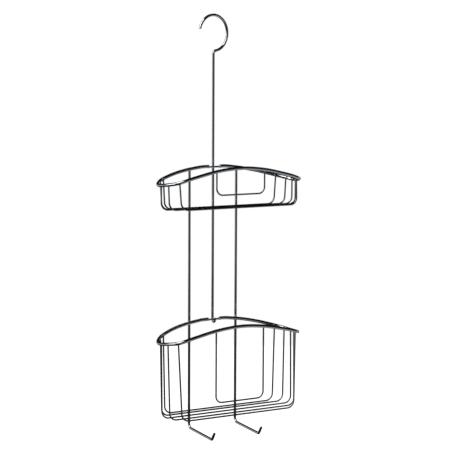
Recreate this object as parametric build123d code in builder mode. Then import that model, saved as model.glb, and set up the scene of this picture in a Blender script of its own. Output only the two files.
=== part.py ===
from build123d import *
import math
import os

os.makedirs("parts", exist_ok=True)

# Two-tier wire shower caddy on a hook rod, in millimetres.
# The origin is the inside top of the ring hook, where it rests on a shower arm.
# X is to the right, -Y is to the front and Z is up.

# ---- wire thicknesses (radii) ----
rod_r = 2.0            # hook rod and both uprights
rim_r = 2.5            # basket rims
bridge_r = 1.4         # short wire that closes each rim at the back
basket_r = 1.2         # basket wires and front guards

# ---- fits ----
hook_gap = 0.3         # between the hook rod and a bridge wire
weld_sink = 0.3        # an upright is let this far into a rim where it is welded

# ---- heights ----
upper_floor = 277.6    # centre of the upper basket's floor wires below the origin, mid depth
basket_pitch = 303.3   # from the upper basket's floor down to the lower one's
hook_drop = 31.9       # from the lower basket's floor down to the bend at the uprights' feet
upper_floor_tilt = 5.0  # front floor wire above the back one
lower_floor_tilt = 0.0
upper_rim_tip = 35.5   # a rim's two ends above its own floor wires
lower_rim_tip = 109.5
rim_arch = 22.2        # how far the rim rises from its ends to its middle
arch_power = 1.8       # shape of that rise, where 2 is a parabola
upper_front_lift = 2.6  # extra rise of the rim's front over its back, at the middle
lower_front_lift = 1.0

# ---- right half of a rim's plan: distance to the side, distance in front of the back run ----
rim_plan = [
    (20.0, 0.0),
    (48.0, 0.8),
    (73.0, 5.0),
    (97.0, 15.2),
    (109.0, 27.5),
    (115.4, 42.5),
    (109.5, 60.0),
    (101.0, 77.5),
    (84.0, 80.5),
    (40.0, 81.5),
]
rim_gap = 19.0         # opening at the middle of the back
bridge_drop = 0.8      # bridge wire below the rim's centreline
bend_share = 0.46      # how much of a run each of a rim's bends takes
arc_steps = 10         # points taken along each bend to place what meets the rim

# ---- uprights and towel hooks ----
upright_spacing = 80.0
upright_over = 1.0     # top end above the upper rim's centreline
hook_reach = 70.0      # forward run of a towel hook
hook_fall = 3.6        # how far that run drops
hook_tip_reach = 7.5
hook_tip_rise = 11.0
hook_bend = 7.0        # bend radius at the foot of an upright
tip_bend = 3.6

# ---- hook rod ----
ring_r = 26.3          # centreline radius of the ring
ring_end = 167.0       # angle where the ring stops, from the right, over the top
ring_twist = 10.0      # the ring's right side is turned to the back by this angle
neck_bend = 4.0        # bend from the straight rod into the ring
catch_rise = 2.5       # tip of the small lower hook above the bridge wire's centre
end_round = 0.7        # rounding of every free wire end

# ---- basket wires, from the back: half length of the floor run, then how far the floor
# ---- run and the top ends stand in front of the rim's back run, and the floor run's drop
upper_wires = [
    (92.8, 18.8, 16.5, 0.0),
    (104.0, 31.0, 29.0, 0.0),
    (110.5, 41.5, 41.0, 0.0),
    (106.0, 58.0, 58.0, 0.0),
    (96.5, 77.0, 76.0, 0.0),
]
lower_wires = [
    (92.8, 18.8, 16.5, 0.0),
    (104.0, 30.6, 28.5, 0.0),
    (110.5, 43.5, 41.0, 0.8),
    (106.0, 59.5, 57.0, 0.8),
    (95.0, 76.4, 74.5, 0.0),
]
wire_over = 0.6        # a basket wire's top above the rim's centreline
wire_bend = 11.0       # corner radius of the basket wires
guard_half = 40.0      # front guard's half length
upper_guard_rise = 19.0  # guard's bottom run above the front floor wire
lower_guard_rise = 21.5
guard_bend = 10.0

# ---- values that follow ----
lower_floor = upper_floor + basket_pitch
hook_line = lower_floor + hook_drop
rim_back_y = -(bridge_r + hook_gap + rod_r)
wire_inset = rim_r + basket_r - weld_sink
rim_half_width = max(x for x, depth in rim_plan)
rim_depth = max(depth for x, depth in rim_plan)


def rim_height(x, depth, front_lift):
    """Height of the rim's centreline above its two ends."""
    level = 1 - (x / rim_half_width) ** arch_power
    return level * (rim_arch + front_lift * depth / rim_depth)


def rim_points(tip_z, front_lift):
    """Corner points of the rim, from the right of its gap, round the front, to the left."""
    points = []
    for x, depth in rim_plan:
        z = tip_z + rim_height(x, depth, front_lift)
        points.append(Vector(x, rim_back_y - depth, z))
    end = Vector(rim_gap / 2, rim_back_y, points[0].Z)
    front = Vector(0, rim_back_y - rim_depth, tip_z + rim_height(0, rim_depth, front_lift))
    right = [end] + points
    left = [Vector(-p.X, p.Y, p.Z) for p in reversed(right)]
    return right + [front] + left


def widest_bends(points):
    """The largest bend radius that the two runs beside each inner point allow."""
    bends = []
    for before, corner, after in zip(points, points[1:], points[2:]):
        turn = math.radians((corner - before).get_angle(after - corner))
        run = min((corner - before).length, (after - corner).length)
        bends.append(bend_share * run / math.tan(turn / 2))
    return bends


def bent_wire(points, bends, radius):
    """A round wire through the points, bent at each inner one to its own radius."""
    with BuildPart() as wire:
        with BuildLine() as path:
            last = points[0]
            for before, corner, after, bend in zip(points, points[1:], points[2:], bends):
                a = (before - corner).normalized()
                b = (after - corner).normalized()
                half = math.radians(a.get_angle(b)) / 2
                inward = (a + b).normalized()
                start = corner + a * (bend / math.tan(half))
                end = corner + b * (bend / math.tan(half))
                middle = corner + inward * (bend / math.sin(half) - bend)
                Line(last, start)
                ThreePointArc(start, middle, end)
                last = end
            Line(last, points[-1])
        with BuildSketch(Plane(path.line @ 0, z_dir=path.line % 0)):
            Circle(radius)
        sweep(path=path.line)
    return wire.part


def along(points, bends):
    """Closely spaced points on the centreline that bent_wire makes."""
    line = [points[0]]
    for before, corner, after, bend in zip(points, points[1:], points[2:], bends):
        a = (before - corner).normalized()
        b = (after - corner).normalized()
        half = math.radians(a.get_angle(b)) / 2
        centre = corner + (a + b).normalized() * (bend / math.sin(half))
        start = corner + a * (bend / math.tan(half)) - centre
        end = corner + b * (bend / math.tan(half)) - centre
        turn = math.pi - 2 * half
        for i in range(arc_steps + 1):
            near = math.sin(turn * (1 - i / arc_steps)) / math.sin(turn)
            far = math.sin(turn * i / arc_steps) / math.sin(turn)
            line.append(centre + start * near + end * far)
    line.append(points[-1])
    return line


def crossings(line, key, level):
    """Where key passes level on the right half of a rim, and the way in from there."""
    hits = []
    for a, b in zip(line, line[1:]):
        before = key(a) - level
        after = key(b) - level
        if min(a.X, b.X) >= 0 and before * after <= 0 and before != after:
            point = a + (b - a) * (before / (before - after))
            hits.append((point, Vector(b.Y - a.Y, a.X - b.X, 0).normalized()))
    return hits


def save(part, name):
    part.label = name
    export_step(part, "parts/" + name + ".step")


# ---- rims and their bridge wires ----
tiers = {
    "upper": (-upper_floor, upper_floor_tilt, upper_rim_tip, upper_front_lift, upper_wires),
    "lower": (-lower_floor, lower_floor_tilt, lower_rim_tip, lower_front_lift, lower_wires),
}
guard_rise = {"upper": upper_guard_rise, "lower": lower_guard_rise}
rims = {}
rim_lines = {}
bridge_z = {}
for tier, (floor_z, tilt, tip, lift, wires) in tiers.items():
    points = rim_points(floor_z + tip, lift)
    bends = widest_bends(points)
    rims[tier] = bent_wire(points, bends, rim_r)
    rim_lines[tier] = along(points, bends)
    save(rims[tier], tier + "_rim")

    bridge_z[tier] = points[0].Z - bridge_drop
    with BuildPart() as bridge:
        with BuildSketch(Plane.YZ.offset(-rim_gap / 2)):
            with Locations((rim_back_y, bridge_z[tier])):
                Circle(bridge_r)
        extrude(amount=rim_gap)
    save(bridge.part, tier + "_bridge")

# ---- basket wires and front guards: each is a U, welded to the inside of the rim ----
for tier, (floor_z, tilt, tip, lift, wires) in tiers.items():
    shapes = {}
    for number, (half_floor, floor_depth, top_depth, drop) in enumerate(wires, start=1):
        level = rim_back_y - top_depth
        rim_point, inward = crossings(rim_lines[tier], lambda p: p.Y, level)[0]
        foot_y = rim_back_y - floor_depth
        foot_z = floor_z + tilt * (floor_depth / rim_depth - 0.5) - drop
        foot = Vector(half_floor, foot_y, foot_z)
        shapes["basket_wire_" + str(number)] = (rim_point, inward, foot, wire_bend)
    rim_point, inward = crossings(rim_lines[tier], lambda p: p.X, guard_half)[-1]
    foot_y = rim_point.Y + wire_inset
    foot_z = floor_z + tilt * ((rim_back_y - foot_y) / rim_depth - 0.5) + guard_rise[tier]
    foot = Vector(guard_half, foot_y, foot_z)
    shapes["front_guard"] = (rim_point, inward, foot, guard_bend)

    for name, (rim_point, inward, foot, bend) in shapes.items():
        top = rim_point + inward * wire_inset + Vector(0, 0, wire_over)
        corners = [
            Vector(-top.X, top.Y, top.Z),
            Vector(-foot.X, foot.Y, foot.Z),
            foot,
            top,
        ]
        run = bent_wire(corners, [bend, bend], basket_r)
        with BuildPart() as wire:
            add(run)
            add(rims[tier], mode=Mode.SUBTRACT)
        save(wire.part, tier + "_" + name)

# ---- uprights, each ending in a towel hook ----
upright_x = upright_spacing / 2
weld_point = crossings(rim_lines["upper"], lambda p: p.X, upright_x)[0][0]
upright_y = weld_point.Y + rim_r + rod_r - weld_sink
upright_top = weld_point.Z + upright_over
for name, x in (("upright_left", -upright_x), ("upright_right", upright_x)):
    hook_z = -hook_line - hook_fall
    corners = [
        Vector(x, upright_y, upright_top),
        Vector(x, upright_y, -hook_line),
        Vector(x, upright_y - hook_reach, hook_z),
        Vector(x, upright_y - hook_reach - hook_tip_reach, hook_z + hook_tip_rise),
    ]
    run = bent_wire(corners, [hook_bend, tip_bend], rod_r)
    with BuildPart() as upright:
        add(run)
        ends = upright.edges().filter_by(GeomType.CIRCLE).filter_by(lambda e: e.is_closed)
        tips = [ends.sort_by(Axis.Z)[-1], ends.sort_by(Axis.Y)[0]]
        fillet(tips, end_round)
        add(rims["upper"], mode=Mode.SUBTRACT)
        add(rims["lower"], mode=Mode.SUBTRACT)
    save(upright.part, name)

# ---- hook rod: small lower hook, straight rod, ring ----
catch_r = bridge_r + hook_gap + rod_r
catch_z = bridge_z["lower"]
catch_y = rim_back_y
ring_z = rod_r - ring_r
neck_z = ring_z - math.sqrt((ring_r + neck_bend) ** 2 - neck_bend**2)
twist = math.radians(ring_twist)


def ring_point(x, z):
    return Vector(x * math.cos(twist), x * math.sin(twist), z)


def on_ring(degrees):
    a = math.radians(degrees)
    return ring_point(ring_r * math.cos(a), ring_z + ring_r * math.sin(a))


ring_start = -math.degrees(math.atan2(ring_z - neck_z, neck_bend))
neck_turn = math.radians(180 - (180 + ring_start) / 2)
neck_mid = ring_point(
    neck_bend + neck_bend * math.cos(neck_turn),
    neck_z + neck_bend * math.sin(neck_turn),
)
with BuildPart() as hanger:
    with BuildLine() as path:
        Line((0, catch_y - catch_r, catch_z + catch_rise), (0, catch_y - catch_r, catch_z))
        ThreePointArc(
            (0, catch_y - catch_r, catch_z),
            (0, catch_y, catch_z - catch_r),
            (0, catch_y + catch_r, catch_z),
        )
        Line((0, 0, catch_z), (0, 0, neck_z))
        ThreePointArc((0, 0, neck_z), neck_mid, on_ring(ring_start))
        ThreePointArc(
            on_ring(ring_start), on_ring((ring_start + ring_end) / 2), on_ring(ring_end)
        )
    with BuildSketch(Plane(path.line @ 0, z_dir=path.line % 0)):
        Circle(rod_r)
    sweep(path=path.line)
    ends = hanger.faces().filter_by(GeomType.PLANE)
    fillet(ends.edges(), end_round)
save(hanger.part, "hanger")
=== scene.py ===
import math

import bmesh
import bpy
from mathutils import Matrix, Vector, noise


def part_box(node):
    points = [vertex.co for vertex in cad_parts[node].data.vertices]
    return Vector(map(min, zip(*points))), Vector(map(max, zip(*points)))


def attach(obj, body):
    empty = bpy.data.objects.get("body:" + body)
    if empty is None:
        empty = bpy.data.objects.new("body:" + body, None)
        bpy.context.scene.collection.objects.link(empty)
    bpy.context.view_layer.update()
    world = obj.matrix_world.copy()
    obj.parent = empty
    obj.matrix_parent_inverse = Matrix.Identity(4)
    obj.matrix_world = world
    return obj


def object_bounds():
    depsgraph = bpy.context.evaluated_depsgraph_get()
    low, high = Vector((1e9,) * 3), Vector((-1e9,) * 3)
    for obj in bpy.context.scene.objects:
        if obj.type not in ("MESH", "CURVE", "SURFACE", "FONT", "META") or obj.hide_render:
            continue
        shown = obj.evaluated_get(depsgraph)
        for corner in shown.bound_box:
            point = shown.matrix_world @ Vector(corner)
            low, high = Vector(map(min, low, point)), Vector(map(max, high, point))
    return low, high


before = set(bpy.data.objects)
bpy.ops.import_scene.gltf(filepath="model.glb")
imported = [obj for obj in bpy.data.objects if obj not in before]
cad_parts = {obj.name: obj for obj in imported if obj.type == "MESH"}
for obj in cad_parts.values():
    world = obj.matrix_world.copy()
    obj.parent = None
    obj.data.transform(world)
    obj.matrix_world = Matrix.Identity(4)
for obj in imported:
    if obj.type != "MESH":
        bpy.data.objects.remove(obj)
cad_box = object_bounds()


# ---- Camera -----------------------------------------------------------------
# A long lens looks at the middle of the caddy from its front left, a little
# above it, and leans a quarter of a degree.
lens_mm = 123.58
sensor_mm = 36
nearest, furthest = 0.1, 50
aim = Vector((0.00698, -0.03022, -0.30935))
distance = 2.30495
turn = math.radians(-30.154)
rise = math.radians(6.557)
lean = math.radians(0.271)

back = Vector((math.sin(turn) * math.cos(rise), -math.cos(turn) * math.cos(rise), math.sin(rise)))
right = Vector((math.cos(turn), math.sin(turn), 0))
up = back.cross(right)
tilted_right = right * math.cos(lean) + up * math.sin(lean)
tilted_up = up * math.cos(lean) - right * math.sin(lean)
axes = Matrix((tilted_right, tilted_up, back)).transposed()
camera = bpy.data.objects.new("camera", bpy.data.cameras.new("camera"))
camera.data.lens = lens_mm
camera.data.sensor_width = sensor_mm
camera.data.clip_start = nearest
camera.data.clip_end = furthest
camera.matrix_world = Matrix.Translation(aim + back * distance) @ axes.to_4x4()
bpy.context.collection.objects.link(camera)
bpy.context.scene.camera = camera
bpy.context.scene.view_settings.view_transform = "Standard"


# ---- Studio room ------------------------------------------------------------
# A white room with no walls in sight. Bright wire needs something dark to mirror,
# so its reflections see a room of broad shades instead: a pale screen behind the
# caddy, dark cloth in front and overhead, a pale table and a window on the left.

# Shades from straight behind the caddy, at 0, round to straight in front of it, at 1.
wall_shades = [(0.0, "#2E3032"), (0.1, "#2E3032"), (0.14, "#E6E8EA"),
               (0.32, "#E6E8EA"), (0.4, "#4C4F51"), (1.0, "#484B4D")]
ground_shades = [(0.0, "#1C1D1E"), (0.24, "#1C1D1E"), (0.34, "#707376"),
                 (0.46, "#2A2C2E"), (1.0, "#2A2C2E")]
ceiling_shade = "#161718"
table_shade = "#B0B3B6"
window_shade = "#D2D5D8"

# Where each part of the room begins and where it is complete, by how far a direction
# points up or, for a side, to the left.
ground_edge = (-0.10, -0.26)
ceiling_edge = (0.0, 0.25)
table_edge = (-0.3, -0.6)
table_side = (0.0, -0.35)
window_side = (0.72, 0.92)
window_foot = (-0.19, -0.12)
window_head = (0.34, 0.22)


def linear(hex_colour):
    """The linear colour of an sRGB hex value."""
    channels = []
    for i in (1, 3, 5):
        c = int(hex_colour[i:i + 2], 16) / 255
        channels.append(c / 12.92 if c <= 0.04045 else ((c + 0.055) / 1.055) ** 2.4)
    return (*channels, 1)


def node(tree, kind, settings=(), stops=(), **links):
    """Adds a shader node with its settings, colour stops, values and links."""
    made = tree.nodes.new(kind)
    for name, value in dict(settings).items():
        setattr(made, name, value)
    for i, (place, hex_colour) in enumerate(stops):
        band = made.color_ramp.elements
        stop = band[i] if i < len(band) else band.new(place)
        stop.position = place
        stop.color = linear(hex_colour)
    for name, value in links.items():
        key = int(name[1:]) if name[0] == "_" else name.replace("_", " ")
        if isinstance(value, bpy.types.NodeSocket):
            tree.links.new(value, made.inputs[key])
        else:
            made.inputs[key].default_value = value
    return made


world = bpy.data.worlds.new("studio_room")
bpy.context.scene.world = world
world.use_nodes = True
tree = world.node_tree
tree.nodes.clear()
dot, times = {"operation": "DOT_PRODUCT"}, {"operation": "MULTIPLY"}
smooth, rgba = {"interpolation_type": "SMOOTHSTEP"}, {"data_type": "RGBA"}

direction = node(tree, "ShaderNodeTexCoord").outputs["Generated"]
upward = node(tree, "ShaderNodeSeparateXYZ", _0=direction).outputs["Z"]
leftward = node(tree, "ShaderNodeVectorMath", dot,
                _0=direction, _1=(-math.cos(turn), -math.sin(turn), 0)).outputs["Value"]
forward = node(tree, "ShaderNodeVectorMath", dot,
               _0=direction, _1=(math.sin(turn), -math.cos(turn), 0)).outputs["Value"]
around = node(tree, "ShaderNodeMapRange", Value=forward,
              From_Min=-1.0, From_Max=1.0).outputs["Result"]

shares = []
for part, (begins, complete) in ((upward, ground_edge), (upward, ceiling_edge),
                                 (upward, table_edge), (leftward, table_side),
                                 (leftward, window_side), (upward, window_foot),
                                 (upward, window_head)):
    shares.append(node(tree, "ShaderNodeMapRange", smooth, Value=part,
                       From_Min=begins, From_Max=complete).outputs["Result"])
in_ground, in_ceiling, low, to_right, to_left, over_foot, under_head = shares
in_table = node(tree, "ShaderNodeMath", times, _0=low, _1=to_right).outputs["Value"]
tall = node(tree, "ShaderNodeMath", times, _0=over_foot, _1=under_head).outputs["Value"]
in_window = node(tree, "ShaderNodeMath", times, _0=tall, _1=to_left).outputs["Value"]

walls = node(tree, "ShaderNodeValToRGB", stops=wall_shades, Fac=around).outputs["Color"]
lower_room = node(tree, "ShaderNodeValToRGB", stops=ground_shades, Fac=around).outputs["Color"]
lower_room = node(tree, "ShaderNodeMix", rgba,
                  _0=in_table, _6=lower_room, _7=linear(table_shade)).outputs[2]
room = node(tree, "ShaderNodeMix", rgba, _0=in_ground, _6=walls, _7=lower_room).outputs[2]
for share, shade in ((in_ceiling, ceiling_shade), (in_window, window_shade)):
    room = node(tree, "ShaderNodeMix", rgba, _0=share, _6=room, _7=linear(shade)).outputs[2]

mirrored = node(tree, "ShaderNodeBackground", Color=room, Strength=1.0).outputs[0]
seen = node(tree, "ShaderNodeBackground", Color=linear("#FFFFFF"), Strength=1.0).outputs[0]
looking = node(tree, "ShaderNodeLightPath").outputs["Is Camera Ray"]
sky = node(tree, "ShaderNodeMixShader", _0=looking, _1=mirrored, _2=seen).outputs[0]
node(tree, "ShaderNodeOutputWorld", Surface=sky)


# ---- Floor and black flag -----------------------------------------------------
# A wide floor of matt white board, well below the hanging caddy and lit until it is
# as white as the room. A small card of black felt hangs between them, hidden from
# the camera: the undersides of the lower basket and the towel hooks mirror it.
floor_drop = 0.16
floor_radius = 1.5
flag_drop = 0.08
flag_radius = 0.15


def round_card(name, radius, y, drop, segments):
    """A flat round card, its drop measured from the caddy's lowest point."""
    shape = bmesh.new()
    bmesh.ops.create_circle(shape, cap_ends=True, radius=radius, segments=segments)
    bmesh.ops.translate(shape, verts=shape.verts, vec=(0, y, cad_box[0].z - drop))
    mesh = bpy.data.meshes.new(name)
    shape.to_mesh(mesh)
    shape.free()
    card = bpy.data.objects.new(name, mesh)
    bpy.context.collection.objects.link(card)
    return card


# Painted board: matt and evenly white, with no shadow left on it.
floor = round_card("floor", floor_radius, y=0, drop=floor_drop, segments=96)
board = bpy.data.materials.new("white_board")
board.use_nodes = True
surface = board.node_tree.nodes["Principled BSDF"]
surface.inputs["Base Color"].default_value = linear("#F4F4F3")
surface.inputs["Roughness"].default_value = 0.9
surface.inputs["Emission Color"].default_value = linear("#FFFFFF")
surface.inputs["Emission Strength"].default_value = 1.0
floor.data.materials.append(board)
floor.visible_glossy = False

# Wool felt: it gives back almost no light and has no gloss.
flag = round_card("black_flag", flag_radius, y=aim.y, drop=flag_drop, segments=48)
felt = bpy.data.materials.new("black_felt")
felt.use_nodes = True
surface = felt.node_tree.nodes["Principled BSDF"]
surface.inputs["Base Color"].default_value = linear("#060606")
surface.inputs["Roughness"].default_value = 1.0
surface.inputs["Specular IOR Level"].default_value = 0.0
flag.data.materials.append(felt)
flag.visible_camera = False
flag.visible_shadow = False


# ---- Lights -------------------------------------------------------------------
# A square soft box above on the left draws the white bands at the front left bends
# of the rims, and a second one low on the left draws those at their left ends.
def soft_box(name, place, side, power):
    """A square lamp that faces the middle of the caddy: its side in metres, its power in watts."""
    lamp = bpy.data.lights.new(name, "AREA")
    lamp.shape = "SQUARE"
    lamp.size = side
    lamp.energy = power
    holder = bpy.data.objects.new(name, lamp)
    away = Vector(place) - aim
    facing_in = away.to_track_quat("Z", "Y").to_matrix().to_4x4()
    holder.matrix_world = Matrix.Translation(place) @ facing_in
    holder.visible_camera = False
    bpy.context.collection.objects.link(holder)


soft_box("top_soft_box", place=(-1.1, -0.2, 1.3), side=1.6, power=24)
soft_box("left_soft_box", place=(-2.2, 0.45, 0.5), side=0.8, power=8)


# ---- Hook rod and uprights ------------------------------------------------------
# Cold-drawn mild steel wire, 4 mm thick, cut, bent and rounded at its ends, then
# nickel and chrome plated. The caddy's uprights also carry both baskets.
def bright_chrome(name, colours, dull, ripple_mm, ripple_size_mm,
                  stretch=(1, 1, 1), haze_size_mm=16):
    """Decorative chrome: slightly blue and mirror bright, with a faint ripple from the
    steel under it and a thin water haze that dulls it and greys it in patches."""
    made = bpy.data.materials.new(name)
    made.use_nodes = True
    tree = made.node_tree
    surface = tree.nodes["Principled BSDF"]
    surface.inputs["Metallic"].default_value = 1.0
    place = node(tree, "ShaderNodeTexCoord").outputs["Object"]
    haze = node(tree, "ShaderNodeTexNoise", Vector=place, Scale=1000 / haze_size_mm,
                Detail=3.0, Roughness=0.55).outputs["Fac"]
    rough = node(tree, "ShaderNodeMapRange", Value=haze, From_Min=0.3, From_Max=0.75,
                 To_Min=dull[0], To_Max=dull[1]).outputs["Result"]
    tint = node(tree, "ShaderNodeValToRGB", stops=[(0.3, colours[0]), (0.7, colours[1])],
                Fac=haze).outputs["Color"]
    drawn = node(tree, "ShaderNodeMapping", Vector=place, Scale=stretch).outputs["Vector"]
    ripple = node(tree, "ShaderNodeTexNoise", Vector=drawn, Scale=1000 / ripple_size_mm,
                  Detail=2.0).outputs["Fac"]
    bump = node(tree, "ShaderNodeBump", Height=ripple, Distance=ripple_mm / 1000,
                Strength=0.6).outputs["Normal"]
    tree.links.new(rough, surface.inputs["Roughness"])
    tree.links.new(tint, surface.inputs["Base Color"])
    tree.links.new(bump, surface.inputs["Normal"])
    return made


def finish_nodes(names, material):
    """Gives the named wires their material."""
    for name in names:
        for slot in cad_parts[name].material_slots:
            slot.material = material


# The drawing die leaves lines along the wire, which the plating keeps. They are drawn
# 0.9 mm apart, far coarser than the real ones, so that they show.
rod_chrome = bright_chrome("drawn_rod_chrome", ("#D2D5D8", "#C4C8CB"), dull=(0.05, 0.11),
                           ripple_mm=0.004, ripple_size_mm=0.9, stretch=(1, 1, 0.04))
finish_nodes(["hanger", "upright_left", "upright_right"], rod_chrome)


# ---- Rims and bridge wires ------------------------------------------------------
# 5 mm steel wire bent round a former into the baskets' arched outline and polished
# before it is plated. A thin bridge wire closes the opening of each at the back.

# Polishing takes the die lines away and leaves slow waves 2.5 mm long, so the rims
# mirror more sharply than the thin wires.
rim_chrome = bright_chrome("polished_rim_chrome", ("#CFD2D5", "#C1C5C8"), dull=(0.03, 0.07),
                           ripple_mm=0.006, ripple_size_mm=2.5)
finish_nodes(["upper_rim", "lower_rim", "upper_bridge", "lower_bridge"], rim_chrome)


# ---- Basket wires and front guards ---------------------------------------------
# 2.4 mm drawn steel wire, cut, bent to a U and spot welded inside the rims. The two
# guards are shorter and keep small things from falling out at the front.

# It is plated as drawn, so it mirrors less sharply. Its colour is painted shade: it is a darker
# grey than the rods' and rims' chrome, so the thin wires mirror the room darker.
wire_painted_shade_chrome = bright_chrome("thin_wire_painted_shade_chrome", ("#A4A7AA", "#93969A"), dull=(0.08, 0.15),
                            ripple_mm=0.004, ripple_size_mm=0.8)
thin = [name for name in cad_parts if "basket_wire" in name or "guard" in name]
finish_nodes(thin, wire_painted_shade_chrome)


# ---- Welds -------------------------------------------------------------------
# Small resistance welds where the wires meet: the squeezed-out metal freezes as a
# low lumpy bead, and the plating covers it but stays duller than on drawn wire.
wire_bead = (0.0017, 0.0011, 0.0019)      # across the joint, out of it, and up
upright_bead = (0.0026, 0.0011, 0.0021)
bridge_bead = (0.0021, 0.0010, 0.0021)
lump = 0.00018                            # unevenness of a bead
lump_size = 0.0011
wire_end = 0.0015                         # the part of a wire taken as its top end
upright_side = 0.002                      # how far beside an upright its weld looks for rim
toward_wire = 0.35                        # share of the way from the rim into the wire

# Plated bead: grey and satin, with a grain of half a millimetre.
weld_chrome = bright_chrome("plated_weld_chrome", ("#B4B7BA", "#96999C"), dull=(0.2, 0.34),
                            ripple_mm=0.02, ripple_size_mm=0.5, haze_size_mm=1.5)


def mesh_points(name):
    """The points of a wire's mesh."""
    return [v.co.copy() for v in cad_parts[name].data.vertices]


def bead(shape, place, out, radii):
    """Adds one lumpy bead at place, its thin side facing out of the joint."""
    out = Vector((out.x, out.y, 0)).normalized()
    across = Vector((out.y, -out.x, 0))
    turned = Matrix((across, out, Vector((0, 0, 1)))).transposed().to_4x4()
    sized = Matrix.Diagonal((*radii, 1))
    made = bmesh.ops.create_icosphere(shape, subdivisions=3, radius=1,
                                      matrix=Matrix.Translation(place) @ turned @ sized)
    for v in made["verts"]:
        v.co += (v.co - place).normalized() * lump * noise.noise(v.co / lump_size)


def weld_piece(name, shape):
    """Makes one piece of the beads in shape, which moves with the basket frame."""
    for face in shape.faces:
        face.smooth = True
    mesh = bpy.data.meshes.new(name)
    shape.to_mesh(mesh)
    shape.free()
    piece = bpy.data.objects.new(name, mesh)
    bpy.context.collection.objects.link(piece)
    mesh.materials.append(weld_chrome)
    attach(piece, "basket_frame")


for tier in ("upper", "lower"):
    rim = mesh_points(tier + "_rim")
    shape = bmesh.new()
    for name in thin:
        if not name.startswith(tier):
            continue
        points = mesh_points(name)
        top = max(p.z for p in points)
        for side in (-1, 1):
            tip = [p for p in points if p.z > top - wire_end and p.x * side > 0]
            end = sum(tip, Vector()) / len(tip)
            touch = min(rim, key=lambda p: (p - end).length_squared)
            bead(shape, touch.lerp(end, toward_wire), end - touch, wire_bead)
    weld_piece(tier + "_basket_welds", shape)

    shape = bmesh.new()
    for name in ("upright_left", "upright_right"):
        low_corner, high_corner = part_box(name)
        middle = (low_corner.x + high_corner.x) / 2
        near = [p for p in rim if abs(p.x - middle) < upright_side]
        touch = max(near, key=lambda p: p.y)
        bead(shape, touch, Vector((0, 1, 0)), upright_bead)
    weld_piece(tier + "_upright_welds", shape)

    shape = bmesh.new()
    low_corner, high_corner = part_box(tier + "_bridge")
    for end, out in ((low_corner.x, 1), (high_corner.x, -1)):
        place = (low_corner + high_corner) / 2
        place.x = end
        bead(shape, place, Vector((out, 0, 0)), bridge_bead)
    weld_piece(tier + "_bridge_welds", shape)
